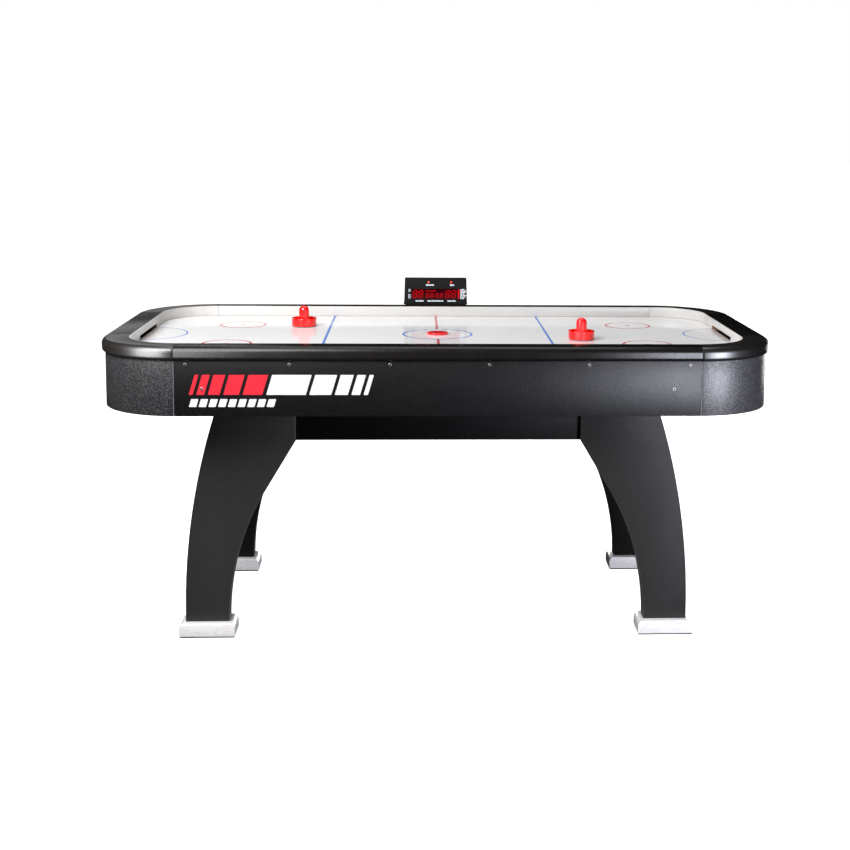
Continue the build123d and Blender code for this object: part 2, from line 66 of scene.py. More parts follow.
# rails, liners and playfield
HALF_L = cad_high.x
HALF_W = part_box("rail_back")[1].y
RAIL_BOTTOM, RAIL_TOP = (corner.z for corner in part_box("rail_front"))
RAIL_IN_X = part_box("rail_right")[0].x
RAIL_IN_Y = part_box("rail_back")[0].y
RAIL_EASE = 0.5 * MM  # bevel on the rails' sharp edges
OUTER_R = 0.225  # rail corners
INNER_R = 0.150
SEAM_X = HALF_L - OUTER_R  # where straight stretches meet corners
SEAM_Y = HALF_W - OUTER_R
SEAM_GAP = 0.3 * MM
LINER_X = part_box("liner_right")[0].x
LINER_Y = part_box("liner_back")[0].y
LINER_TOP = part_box("liner_back")[1].z
LINER_T = 3 * MM
LINER_FIT = 0.05 * MM  # gap behind a liner
LINER_EASE = 0.6 * MM
PLAY_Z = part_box("playfield")[1].z

# goal slots
GOAL_HALF = 0.127
GOAL_TOP = PLAY_Z + 11.5 * MM
GOAL_FRONT = RAIL_IN_X - 20 * MM  # the cut starts over the rink, in front of the liner
GOAL_DEEP = RAIL_IN_X + 46 * MM
CUT_BELOW = 5 * MM  # a goal cut goes this far under its piece

# aprons
APRON_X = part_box("apron_right")[1].x
APRON_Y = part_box("apron_back")[1].y
APRON_T = 15 * MM
APRON_BOTTOM, APRON_TOP = (corner.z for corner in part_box("apron_front"))
APRON_EASE = 1.0 * MM
APRON_CORNER_EASE = 1.4 * MM
RETURN_HALF = 0.09  # puck return opening in the end aprons
RETURN_TALL = 66 * MM
PANEL_LAP = Vector((6.5 * MM, 0, 7.5 * MM))  # the power panel laps over its cut-out
CUT_OUTSIDE = 10 * MM  # an apron cut starts this far outside

# screws in the side aprons
SCREW_X = (0.130, 0.392, 0.660)
SCREW_DROP = 10 * MM
LOW_SCREW_X = 0.618
LOW_SCREW_DROP = 74 * MM

# legs
LEG_END_HALF = 59.5 * MM  # half a leg's width on its foot
LEG_TOP_OUTER_X = 0.600  # outer edge where it goes up behind the apron
LEG_OUTER_ARC_Z = 0.070  # the outer edge is straight up to here
LEG_KNEE = Vector((0.470, 0.408))  # upper end of the inner arc, as x and z

# rink markings
BLUE_LINE_X = 0.3209
BLUE_LINE_HALF = 3.8 * MM
RED_LINE_HALF = 4.2 * MM
DASH_PITCH = 18 * MM
DASH_GAP = 2.4 * MM
CENTRE_R = 0.0999
CENTRE_HALF = 3.2 * MM
SPOT = (0.5875, 0.190)
SPOT_R = 0.0667
SPOT_HALF = 3.9 * MM
SPOT_DOT = 7.5 * MM
CREASE_R = 0.1316
CREASE_X = LINER_X + 0.0216
CREASE_HALF = 2.4 * MM
HOLE_PITCH = 25.4 * MM
HOLE_R = 0.75 * MM


# ======== node helpers ========
class Shader:
    """A material's node tree with a Principled surface and short ways to add nodes."""

    def __init__(self, name, color=(0.5, 0.5, 0.5), rough=0.5, **sockets):
        self.mat = bpy.data.materials.new(name)
        self.mat.use_nodes = True
        self.tree = self.mat.node_tree
        self.bsdf = self.tree.nodes["Principled BSDF"]
        self.set("Base Color", (*color, 1.0))
        self.set("Roughness", rough)
        for socket, value in sockets.items():
            self.set(socket.replace("_", " "), value)
        self.place = None

    def set(self, socket, value):
        self.feed(self.bsdf.inputs[socket], value)

    def feed(self, socket, value):
        if isinstance(value, bpy.types.NodeSocket):
            self.tree.links.new(value, socket)
        else:
            socket.default_value = value

    def add(self, kind, inputs=None, **props):
        made = self.tree.nodes.new(kind)
        for key, value in props.items():
            setattr(made, key, value)
        for key, value in (inputs or {}).items():
            self.feed(made.inputs[key], value)
        return made

    def position(self):
        """Object coordinates in metres."""
        if self.place is None:
            self.place = self.add("ShaderNodeTexCoord").outputs["Object"]
        return self.place

    def coords(self, scale=(1, 1, 1)):
        """Object coordinates stretched by a scale."""
        return self.add("ShaderNodeMapping", {"Vector": self.position(), "Scale": scale}).outputs["Vector"]

    def noise(self, scale, detail=3.0, stretch=(1, 1, 1), rough=0.55):
        made = self.add("ShaderNodeTexNoise", {"Vector": self.coords(stretch), "Scale": scale,
                                               "Detail": detail, "Roughness": rough})
        return made.outputs["Fac"]

    def ramp(self, value, stops):
        """Colour ramp through (position, colour) stops."""
        made = self.add("ShaderNodeValToRGB", {"Fac": value})
        elements = made.color_ramp.elements
        while len(elements) < len(stops):
            elements.new(0.5)
        for element, (position, color) in zip(elements, stops):
            element.position = position
            element.color = (*color, 1.0)
        return made.outputs["Color"]

    def span(self, value, low, high, to_low, to_high):
        """Value remapped from one range to another, clamped."""
        made = self.add("ShaderNodeMapRange", {"Value": value, "From Min": low, "From Max": high,
                                               "To Min": to_low, "To Max": to_high})
        return made.outputs["Result"]

    def math(self, kind, a, b=0.0):
        made = self.add("ShaderNodeMath", operation=kind)
        for socket, value in zip(made.inputs, (a, b)):
            self.feed(socket, value)
        return made.outputs["Value"]

    def mix(self, factor, a, b):
        made = self.add("ShaderNodeMix", data_type="RGBA")
        self.feed(made.inputs["Factor"], factor)
        self.feed(made.inputs["A"], a if isinstance(a, bpy.types.NodeSocket) else (*a, 1.0))
        self.feed(made.inputs["B"], b if isinstance(b, bpy.types.NodeSocket) else (*b, 1.0))
        return made.outputs["Result"]

    def bump(self, height, strength, distance):
        made = self.add("ShaderNodeBump", {"Height": height, "Strength": strength, "Distance": distance})
        self.set("Normal", made.outputs["Normal"])

    def xyz(self):
        made = self.add("ShaderNodeSeparateXYZ", {"Vector": self.position()})
        return made.outputs["X"], made.outputs["Y"], made.outputs["Z"]


# ======== materials ========
def speckled(name, dark, light, grain_scale, rough, bump, specular=0.5, streaks=None):
    """Black skin with a fine pebbled grain that breaks its highlights into specks."""
    s = Shader(name, Specular_IOR_Level=specular)
    grain = s.noise(grain_scale, 3)
    cloud = s.noise(9, 3)
    tone = s.ramp(grain, [(0.42, dark), (0.64, light)])
    if streaks:
        wood = s.span(s.noise(60, 5, streaks, 0.65), 0.35, 0.65, 0.0, 0.75)
        tone = s.mix(wood, tone, tuple(1.9 * c for c in dark))
    s.set("Base Color", tone)
    worn = s.math("ADD", s.span(grain, 0.3, 0.7, rough[1], rough[0]), s.span(cloud, 0.3, 0.7, -0.03, 0.03))
    s.set("Roughness", worn)
    s.bump(grain, bump, 0.8 * MM)
    return s.mat


def moulded(name, color, rough, grain=1500, bump=0.12, coat=0.0, specular=0.5):
    """Injection-moulded plastic: slight colour cloud, uneven gloss and a fine grain."""
    s = Shader(name, color, rough, Coat_Weight=coat, Coat_Roughness=0.08, Specular_IOR_Level=specular)
    cloud = s.noise(25, 3)
    fine = s.noise(grain, 2)
    dark = tuple(c * 0.86 for c in color)
    light = tuple(min(1.0, c * 1.12) for c in color)
    s.set("Base Color", s.ramp(cloud, [(0.3, dark), (0.7, light)]))
    s.set("Roughness", s.span(fine, 0.3, 0.7, max(0.03, rough - 0.05), rough + 0.06))
    s.bump(fine, bump, 0.1 * MM)
    return s.mat


def raw_board(name):
    """Cut edge of brown fibreboard."""
    s = Shader(name, rough=0.85)
    fibres = s.noise(500, 4, (1, 1, 3))
    cloud = s.noise(30, 2)
    tone = s.mix(s.span(cloud, 0.3, 0.7, 0.0, 1.0), (0.30, 0.17, 0.09), (0.42, 0.27, 0.16))
    s.set("Base Color", s.mix(s.span(fibres, 0.4, 0.7, 0.0, 0.5), tone, (0.16, 0.09, 0.05)))
    s.bump(fibres, 0.5, 0.3 * MM)
    return s.mat


def silver_foot(name):
    """Whitewashed silver lacquer brushed along the block, with faint reddish streaks."""
    s = Shader(name, rough=0.34, Metallic=0.15, Coat_Weight=0.25, Coat_Roughness=0.2)
    streaks = s.noise(60, 6, (1, 9, 9), 0.7)
    fine = s.noise(420, 3, (1, 12, 12))
    base = s.ramp(streaks, [(0.32, (0.66, 0.60, 0.58)), (0.45, (0.86, 0.845, 0.83)),
                            (0.7, (0.93, 0.92, 0.905))])
    warm = s.span(s.noise(34, 4, (1, 5, 5)), 0.56, 0.72, 0.0, 0.5)
    s.set("Base Color", s.mix(warm, base, (0.68, 0.52, 0.50)))
    s.set("Roughness", s.span(fine, 0.3, 0.7, 0.26, 0.46))
    s.bump(s.math("ADD", streaks, fine), 0.3, 0.25 * MM)
    return s.mat


def steel(name, color, rough):
    """Bright metal, or near-black metal for painted shade in screw sockets, with fine level scratches."""
    s = Shader(name, color, rough, Metallic=1.0)
    scratch = s.noise(900, 4, (1, 1, 6))
    s.set("Roughness", s.span(scratch, 0.3, 0.7, rough - 0.08, rough + 0.14))
    s.bump(scratch, 0.12, 0.05 * MM)
    return s.mat


def felt(name):
    """Green wool felt with a fuzzy surface."""
    s = Shader(name, rough=0.95, Sheen_Weight=0.6, Sheen_Roughness=0.5)
    fuzz = s.noise(1600, 4)
    s.set("Base Color", s.ramp(fuzz, [(0.3, (0.004, 0.035, 0.022)), (0.7, (0.02, 0.13, 0.085))]))
    s.bump(fuzz, 0.8, 0.4 * MM)
    return s.mat


def glossy_red(name, color, rough):
    """Red polystyrene with flow clouds, a clear gloss and faint handling scuffs."""
    s = Shader(name, color, rough, Coat_Weight=1.0, Coat_Roughness=0.09, Specular_IOR_Level=0.3,
               Subsurface_Weight=0.03, Subsurface_Radius=(0.004, 0.001, 0.001))
    cloud = s.noise(60, 3)
    scuffs = s.noise(700, 5, (1, 1, 0.3))
    light = tuple(min(1.0, c * 1.15) for c in color)
    s.set("Base Color", s.ramp(cloud, [(0.3, tuple(c * 0.9 for c in color)), (0.7, light)]))
    s.set("Roughness", s.span(scuffs, 0.45, 0.75, rough - 0.03, rough + 0.12))
    s.bump(scuffs, 0.05, 0.05 * MM)
    return s.mat


def liner_white(name):
    """Off-white plastic strip, scuffed by the puck, with a painted brownish shadow line where it meets the
    playfield.
    """
    s = Shader(name, rough=0.3, Coat_Weight=0.2, Coat_Roughness=0.15)
    cloud = s.noise(6, 3)
    scuffs = s.noise(260, 5, (1, 1, 4))
    tone = s.ramp(cloud, [(0.3, (0.61, 0.595, 0.575)), (0.7, (0.655, 0.64, 0.62))])
    tone = s.mix(s.span(scuffs, 0.6, 0.8, 0.0, 0.12), tone, (0.55, 0.52, 0.50))
    _, _, z = s.xyz()
    # painted shadow of the gap at the strip's foot, brownish where the board shows in it
    foot_gap_shadow = s.span(z, PLAY_Z + 0.8 * MM, PLAY_Z + 2 * MM, 0.55, 0.0)
    s.set("Base Color", s.mix(foot_gap_shadow, tone, (0.32, 0.20, 0.17)))
    s.set("Roughness", s.span(scuffs, 0.4, 0.8, 0.30, 0.42))
    s.bump(scuffs, 0.02, 0.03 * MM)
    return s.mat


def playfield_white(name):
    """Gloss white lacquer with printed hockey lines, air holes painted as dark dots of shade, and a painted
    brown shade and reflection beside the goals.
    """
    s = Shader(name, (0.92, 0.93, 0.94), 0.12, Specular_IOR_Level=0.20, Coat_Weight=0.10, Coat_Roughness=0.04)
    x, y, _ = s.xyz()
    ax, ay = s.math("ABSOLUTE", x), s.math("ABSOLUTE", y)
    soft = 0.5 * MM

    def within(distance, half):
        """1 inside a half width, with a thin soft edge."""
        return s.span(distance, half - soft / 2, half + soft / 2, 1.0, 0.0)

    def length(dx, dy):
        return s.math("SQRT", s.math("ADD", s.math("MULTIPLY", dx, dx), s.math("MULTIPLY", dy, dy)))

    def from_centre(cx, cy):
        return length(s.math("SUBTRACT", ax, cx), s.math("SUBTRACT", ay, cy))

    def ring(radius_here, radius, half):
        return within(s.math("ABSOLUTE", s.math("SUBTRACT", radius_here, radius)), half)

    cloud = s.noise(4, 3)
    field = s.ramp(cloud, [(0.3, (0.765, 0.765, 0.77)), (0.7, (0.800, 0.80, 0.805))])

    half_pitch = HOLE_PITCH / 2
    hx = s.math("PINGPONG", s.math("ADD", ax, half_pitch), half_pitch)
    hy = s.math("PINGPONG", s.math("ADD", ay, half_pitch), half_pitch)
    # the air holes are drawn as dark dots: painted shade inside the holes
    hole = within(length(hx, hy), HOLE_R)

    middle = from_centre(0.0, 0.0)
    outside_circle = s.span(middle, CENTRE_R, CENTRE_R + soft, 0.0, 1.0)
    dash = s.math("GREATER_THAN", s.math("PINGPONG", ay, DASH_PITCH / 2), DASH_GAP / 2)
    red_line = s.math("MULTIPLY", within(ax, RED_LINE_HALF), s.math("MULTIPLY", outside_circle, dash))
    blue_line = within(s.math("ABSOLUTE", s.math("SUBTRACT", ax, BLUE_LINE_X)), BLUE_LINE_HALF)
    spot = from_centre(*SPOT)
    spot_marks = s.math("MAXIMUM", ring(spot, SPOT_R, SPOT_HALF), within(spot, SPOT_DOT))
    reds = s.math("MAXIMUM", red_line, spot_marks)
    crease = ring(from_centre(CREASE_X, 0.0), CREASE_R, CREASE_HALF)
    blues = s.math("MAXIMUM", blue_line, s.math("MAXIMUM", ring(middle, CENTRE_R, CENTRE_HALF), crease))

    color = s.mix(blues, field, (0.018, 0.15, 0.62))
    color = s.mix(reds, color, (0.56, 0.008, 0.018))
    # painted brown shade and reflection of the slot's raw edge on the playfield beside each goal
    goal_slot_shade_reflection = s.math("MULTIPLY", s.span(ax, LINER_X - 34 * MM, LINER_X, 0.0, 0.55),
                       s.span(ay, GOAL_HALF - 6 * MM, GOAL_HALF, 1.0, 0.0))
    color = s.mix(goal_slot_shade_reflection, color, (0.42, 0.30, 0.25))
    s.set("Base Color", s.mix(s.math("MULTIPLY", hole, 0.8), color, (0.16, 0.16, 0.17)))
    scuffs = s.noise(55, 6, (1, 2, 1))
    s.set("Roughness", s.span(scuffs, 0.45, 0.8, 0.09, 0.22))
    s.bump(s.math("MULTIPLY", hole, -1.0), 0.4, 0.3 * MM)
    return s.mat


def lit_red(name, color, strength):
    """Seven-segment bar behind a red filter, slightly uneven in brightness."""
    s = Shader(name, color, 0.35, Emission_Strength=strength, Specular_IOR_Level=0.05)
    cloud = s.noise(180, 2)
    bright = tuple(min(1.0, c * 1.25) for c in color)
    s.set("Emission Color", s.ramp(cloud, [(0.3, color), (0.7, bright)]))
    s.set("Base Color", s.ramp(cloud, [(0.3, color), (0.7, bright)]))
    return s.mat


def window_red(name):
    """Nearly black red filter over the display."""
    s = Shader(name, (0.02, 0.001, 0.002), 0.14, Specular_IOR_Level=0.12)
    cloud = s.noise(120, 3)
    s.set("Base Color", s.ramp(cloud, [(0.3, (0.018, 0.001, 0.002)), (0.7, (0.04, 0.002, 0.004))]))
    s.set("Roughness", s.span(cloud, 0.3, 0.7, 0.1, 0.2))
    return s.mat


def printed(name, color):
    """Screen-printed ink with a slight orange-peel."""
    rough = 0.3
    s = Shader(name, color, rough, Coat_Weight=0.3, Coat_Roughness=0.1)
    peel = s.noise(900, 3)
    s.set("Base Color", s.ramp(peel, [(0.3, tuple(c * 0.93 for c in color)), (0.7, color)]))
    s.set("Roughness", s.span(peel, 0.3, 0.7, rough - 0.05, rough + 0.08))
    s.bump(peel, 0.06, 0.05 * MM)
    return s.mat


ALONG_X, ALONG_Y = (0.05, 1, 1), (1, 0.05, 1)
RAIL_DARK, RAIL_LIGHT = (0.0030, 0.0027, 0.0025), (0.0090, 0.0081, 0.0076)
rail_x = speckled("rail_laminate_long", RAIL_DARK, RAIL_LIGHT, 380, (0.24, 0.33), 0.08, 0.28, ALONG_X)
rail_y = speckled("rail_laminate_cross", RAIL_DARK, RAIL_LIGHT, 380, (0.24, 0.33), 0.08, 0.28, ALONG_Y)
corner_gloss = speckled("rail_corner_plastic", (0.0048, 0.0042, 0.0038), (0.0130, 0.0115, 0.0105), 380,
                        (0.28, 0.37), 0.12, 0.85)
apron_skin = speckled("apron_laminate", (0.0024, 0.0024, 0.0025), (0.0150, 0.0148, 0.0152), 400,
                      (0.32, 0.46), 0.6, 0.4)
apron_corner = speckled("apron_corner_grain", (0.0040, 0.0040, 0.0042), (0.105, 0.103, 0.110), 330,
                        (0.30, 0.48), 1.0, 0.7)
seam_edge = speckled("apron_seam_edge", (0.22, 0.22, 0.225), (0.38, 0.38, 0.39), 500, (0.4, 0.55), 0.3)
leg_skin = speckled("leg_laminate", (0.012, 0.0114, 0.0110), (0.022, 0.0212, 0.0206), 900,
                    (0.5, 0.64), 0.3, 0.3)
leg_inner = speckled("leg_inner_face", (0.0025, 0.0023, 0.0022), (0.0060, 0.0056, 0.0053), 700,
                     (0.55, 0.7), 0.3, 0.15)
leg_edge = speckled("leg_edge_band", (0.040, 0.034, 0.030), (0.075, 0.062, 0.052), 700, (0.5, 0.64), 0.3)
skirt_skin = speckled("skirt_laminate", (0.0022, 0.0020, 0.0020), (0.0050, 0.0047, 0.0045), 800,
                      (0.45, 0.6), 0.3, 0.2)
board_brown = raw_board("raw_fibreboard")
foot_silver = silver_foot("foot_silver")
rubber = moulded("pad_rubber", (0.02, 0.02, 0.02), 0.7, 700, 0.4)
screw_steel = steel("screw_steel", (0.95, 0.93, 0.90), 0.42)
# near-black socket material: painted shade inside the hexagon recesses
screw_socket = steel("screw_socket_painted_shade", (0.02, 0.02, 0.02), 0.5)
zinc = steel("bracket_zinc", (0.55, 0.56, 0.58), 0.36)
green_felt = felt("pusher_felt")
red_gloss = glossy_red("pusher_red", (0.78, 0.003, 0.003), 0.12)
puck_red = glossy_red("puck_red", (0.85, 0.012, 0.020), 0.20)
button_gloss = glossy_red("button_red", (0.95, 0.06, 0.02), 0.16)
white_liner = liner_white("liner_white")
rink_white = playfield_white("playfield_white")
black_case = moulded("scoreboard_black", (0.0055, 0.0055, 0.0060), 0.46, 1400, 0.2, specular=0.22)
black_moulded = moulded("moulded_black", (0.022, 0.022, 0.022), 0.5)
black_gloss = moulded("gloss_black", (0.015, 0.015, 0.015), 0.2, 1200, 0.05, 0.4)
display_window = window_red("display_window")
digit_red = lit_red("digit_red", (0.24, 0.0005, 0.002), 0.5)
bar_red = lit_red("bar_red", (0.50, 0.003, 0.010), 0.6)
label_white = printed("label_white", (0.72, 0.76, 0.80))
decal_white = printed("decal_white", (0.90, 0.90, 0.91))
decal_red = printed("decal_red", (0.86, 0.035, 0.055))


# ======== mesh helpers ========
def smooth(obj, angle=32):
    """Smooth shading that keeps edges sharper than an angle crisp."""
    for polygon in obj.data.polygons:
        polygon.use_smooth = True
    obj.data.set_sharp_from_angle(angle=math.radians(angle))


def add_object(name, data):
    obj = bpy.data.objects.new(name, data)
    bpy.context.scene.collection.objects.link(obj)
    return obj


def mesh_object(name, mesh_maker, materials):
    """Object from a function that fills a bmesh."""
    bm = bmesh.new()
    mesh_maker(bm)
    bmesh.ops.recalc_face_normals(bm, faces=bm.faces)
    mesh = bpy.data.meshes.new(name)
    bm.to_mesh(mesh)
    bm.free()
    for material in materials:
        mesh.materials.append(material)
    return add_object(name, mesh)


def piece(name, mesh_maker, materials, slot, body=TABLE, stands_for=(), bevel=0.0, segments=2, angle=32):
    """Finished object: materials, bevelled edges, shading, and its place in the frame."""
    obj = mesh_object(name, mesh_maker, materials)
    if bevel:
        modifier = obj.modifiers.new("edges", "BEVEL")
        modifier.width = bevel
        modifier.segments = segments
        modifier.limit_method = "ANGLE"
        modifier.angle_limit = math.radians(40)
        modifier.miter_outer = "MITER_ARC"
        modifier.use_clamp_overlap = True
        if len(materials) > 1:
            modifier.material = 1  # a second material shows on the bevels
        apply_modifiers(obj)
    smooth(obj, angle)
    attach(obj, body)
    if stands_for:
        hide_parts(*stands_for)
    return obj


def apply_modifiers(obj):
    """Bake the modifiers into the mesh, so that what is seen is what is kept."""
    depsgraph = bpy.context.evaluated_depsgraph_get()
    baked = bpy.data.meshes.new_from_object(obj.evaluated_get(depsgraph))
    old = obj.data
    obj.modifiers.clear()
    obj.data = baked
    baked.name = old.name
    bpy.data.meshes.remove(old)


def add_box(bm, low, high):
    """Closed box between two corners."""
    made = bmesh.ops.create_cube(bm, size=1.0)
    size = Vector(high) - Vector(low)
    middle = (Vector(high) + Vector(low)) / 2
    move = Matrix.Translation(middle) @ Matrix.Diagonal((*size, 1.0))
    bmesh.ops.transform(bm, matrix=move, verts=made["verts"])


def add_wall(bm, first, second):
    """Faces between two closed loops with as many points."""
    count = len(first)
    for i in range(count):
        j = (i + 1) % count
        bm.faces.new((first[i], second[i], second[j], first[j]))


def plates(outlines, front, back):
    """Mesh maker for closed plates: outlines of (x, z) points, pushed along Y."""
    def make(bm):
        for outline in outlines:
            near = [bm.verts.new((x, front, z)) for x, z in outline]
            far = [bm.verts.new((x, back, z)) for x, z in outline]
            bm.faces.new(near)
            bm.faces.new(list(reversed(far)))
            add_wall(bm, near, far)

    return make


def add_lathe(bm, profile, centre=(0, 0, 0), steps=96):
    """Closed body of revolution about an upright axis, from (radius, height) points."""
    rings = []
    for radius, height in profile:
        if radius < 1e-9:
            rings.append([bm.verts.new((centre[0], centre[1], centre[2] + height))])
            continue
        ring = []
        for i in range(steps):
            a = 2 * math.pi * i / steps
            ring.append(bm.verts.new((centre[0] + radius * math.cos(a), centre[1] + radius * math.sin(a),
                                      centre[2] + height)))
        rings.append(ring)
    for lower, upper in zip(rings, rings[1:]):
        for i in range(steps):
            j = (i + 1) % steps
            corners = (lower[i % len(lower)], lower[j % len(lower)],
                       upper[j % len(upper)], upper[i % len(upper)])
            unique = list(dict.fromkeys(corners))
            if len(unique) > 2:
                bm.faces.new(unique)


def rounded(points, radius_steps):
    """Outline with some corners rounded: points are (a, b, radius)."""
    out = []
    count = len(points)
    for i, (a, b, radius) in enumerate(points):
        here = Vector((a, b))
        if radius <= 0:
            out.append((a, b))
            continue
        before = (Vector(points[i - 1][:2]) - here).normalized()
        after = (Vector(points[(i + 1) % count][:2]) - here).normalized()
        turn = before.angle(after)
        reach = radius / math.tan(turn / 2)
        middle = here + (before + after).normalized() * (radius / math.sin(turn / 2))
        start, end = here + before * reach, here + after * reach
        a0 = math.atan2(*(start - middle).yx)
        sweep = (math.atan2(*(end - middle).yx) - a0 + math.pi) % (2 * math.pi) - math.pi
        for k in range(radius_steps + 1):
            angle = a0 + sweep * k / radius_steps
            out.append((middle.x + radius * math.cos(angle), middle.y + radius * math.sin(angle)))
    return out


def cut(obj, low, high, material):
    """Take a box out of a piece, and line the cut with a material."""
    cutter = mesh_object("cutter", lambda bm: add_box(bm, low, high), [material])
    modifier = obj.modifiers.new("cut", "BOOLEAN")
    modifier.operation = "DIFFERENCE"
    modifier.solver = "EXACT"
    modifier.object = cutter
    modifier.material_mode = "TRANSFER"
    apply_modifiers(obj)
    bpy.data.objects.remove(cutter)
    smooth(obj)


# ======== rails, liners and aprons ========
def outline_path(half_x, half_y, radius, zone, steps):
    """Points and outward normals of a rounded rectangle's stretch between two seams."""
    if zone in SIDES:
        sign = SIDES[zone]
        ends = (-SEAM_X + SEAM_GAP, SEAM_X - SEAM_GAP)
        return [(Vector((x, sign * half_y)), Vector((0, sign))) for x in ends]
    if zone in ENDS:
        sign = ENDS[zone]
        ends = (-SEAM_Y + SEAM_GAP, SEAM_Y - SEAM_GAP)
        return [(Vector((sign * half_x, y)), Vector((sign, 0))) for y in ends]
    y_sign, x_sign = SIDES[zone[0]], ENDS[zone[1]]
    first = half_x - radius - SEAM_X
    arc = radius * math.pi / 2
    last = half_y - radius - SEAM_Y
    total = first + arc + last
    path = []
    for i in range(steps + 1):
        s = SEAM_GAP + (total - 2 * SEAM_GAP) * i / steps
        if s < first:
            point, normal = Vector((SEAM_X + s, half_y)), Vector((0, 1))
        elif s < first + arc:
            a = (s - first) / radius
            normal = Vector((math.sin(a), math.cos(a)))
            point = Vector((half_x - radius, half_y - radius)) + normal * radius
        else:
            point, normal = Vector((half_x, half_y - radius - (s - first - arc))), Vector((1, 0))
        flip = Vector((x_sign, y_sign))
        path.append((point * flip, normal * flip))
    return path


def ring_maker(outer, inner, profile, zone, steps=56):
    """Mesh maker for one stretch of a ring. profile points are (edge, offset, height)."""
    paths = {"out": outline_path(*outer, zone, steps), "in": outline_path(*inner, zone, steps)}
    way = {"out": -1, "in": 1}

    def make(bm):
        loops = []
        for i in range(len(paths["out"])):
            loop = []
            for edge, offset, height in profile:
                point, normal = paths[edge][i]
                flat = point + normal * (way[edge] * offset)
                loop.append(bm.verts.new((flat.x, flat.y, height)))
            loops.append(loop)
        for here, there in zip(loops, loops[1:]):
            add_wall(bm, here, there)
        bm.faces.new(loops[0])
        bm.faces.new(list(reversed(loops[-1])))

    return make


def rail_profile():
    """Flat top, bullnose outer edge and flat underside."""
    top_r, low_r, steps = 17 * MM, 10 * MM, 12
    points = [("in", 0.0, RAIL_TOP)]
    for i in range(steps + 1):
        a = math.pi / 2 * i / steps
        points.append(("out", top_r * (1 - math.sin(a)), RAIL_TOP - top_r * (1 - math.cos(a))))
    for i in range(steps + 1):
        a = math.pi / 2 * i / steps
        points.append(("out", low_r * (1 - math.cos(a)), RAIL_BOTTOM + low_r * (1 - math.sin(a))))
    points.append(("in", 0.0, RAIL_BOTTOM))
    return points


def square_profile(low, high):
    """Square section between two heights."""
    return [("in", 0.0, high), ("out", 0.0, high), ("out", 0.0, low), ("in", 0.0, low)]


def ring_piece(node, zone, shape, materials, slot, ease):
    """One stretch of a ring, which stands for a CAD node. shape is (outer, inner, profile)."""
    return piece(node + "_skin", ring_maker(*shape, zone), materials, slot, stands_for=[node], bevel=ease)


def cut_goal(obj, sign, bottom):
    """Take the goal slot out of an end rail or an end liner."""
    xs = sorted((sign * GOAL_FRONT, sign * GOAL_DEEP))
    cut(obj, (xs[0], -GOAL_HALF, bottom - CUT_BELOW), (xs[1], GOAL_HALF, GOAL_TOP), board_brown)


def build_ring(kind, shape, side_look, end_look, corner_look):
    """All eight stretches of a ring, by zone. A look is (materials, slot, ease)."""
    made = {}
    for zone in SIDES:
        made[zone] = ring_piece(kind + "_" + zone, zone, shape, *side_look)
    for zone in ENDS:
        made[zone] = ring_piece(kind + "_" + zone, zone, shape, *end_look)
    for zone in CORNERS:
        made[zone] = ring_piece(kind + "_corner_" + "_".join(zone), zone, shape, *corner_look)
    return made


def build_rails():
    """The rails, given back by side, by end, or for a corner by both."""
    shape = ((HALF_L, HALF_W, OUTER_R), (RAIL_IN_X, RAIL_IN_Y, INNER_R), rail_profile())
    rails = build_ring("rail", shape, ([rail_x], "rail_laminate", RAIL_EASE),
                       ([rail_y], "rail_laminate", RAIL_EASE),
                       ([corner_gloss], "rail_corner_gloss", RAIL_EASE))
    for end, sign in ENDS.items():
        cut_goal(rails[end], sign, RAIL_BOTTOM)
    return rails


def build_liners():
    """White rink walls. The four corner strips stand for one CAD node."""
    shape = ((RAIL_IN_X - LINER_FIT, RAIL_IN_Y - LINER_FIT, INNER_R),
             (LINER_X, LINER_Y, INNER_R - LINER_T), square_profile(PLAY_Z, LINER_TOP))
    for zone in (*SIDES, *ENDS):
        liner = ring_piece("liner_" + zone, zone, shape, [white_liner], "liner_white", LINER_EASE)
        if zone in ENDS:
            cut_goal(liner, ENDS[zone], PLAY_Z)
    for zone in CORNERS:
        piece("liner_corner_" + "_".join(zone), ring_maker(*shape, zone), [white_liner], "liner_white",
              stands_for=["liner_corners"], bevel=LINER_EASE)


def build_aprons():
    """Four boards, three of them with an opening, and four grained corners with pale upright seams."""
    outer_r = OUTER_R - (HALF_L - APRON_X)
    shape = ((APRON_X, APRON_Y, outer_r), (APRON_X - APRON_T, APRON_Y - APRON_T, outer_r - APRON_T),
             square_profile(APRON_BOTTOM, APRON_TOP))
    board_look = ([apron_skin], "apron_laminate", APRON_EASE)
    aprons = build_ring("apron", shape, board_look, board_look,
                        ([apron_corner, seam_edge], "apron_corner_grain", APRON_CORNER_EASE))
    panel_low, panel_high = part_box("power_panel")
    low, high = panel_low + PANEL_LAP, panel_high - PANEL_LAP
    cut(aprons["back"], (low.x, APRON_Y - 2 * APRON_T, low.z), (high.x, APRON_Y + CUT_OUTSIDE, high.z),
        board_brown)
    return_low = APRON_BOTTOM + APRON_T
    for end, sign in ENDS.items():
        xs = sorted((sign * (APRON_X - 2 * APRON_T), sign * (APRON_X + CUT_OUTSIDE)))
        cut(aprons[end], (xs[0], -RETURN_HALF, return_low), (xs[1], RETURN_HALF, return_low + RETURN_TALL),
            black_moulded)
    for corner in CORNERS:
        for polygon in aprons[corner].data.polygons:
            if abs(polygon.normal.z) > 0.3:  # the pale bevel stays on the upright seams only
                polygon.material_index = 0


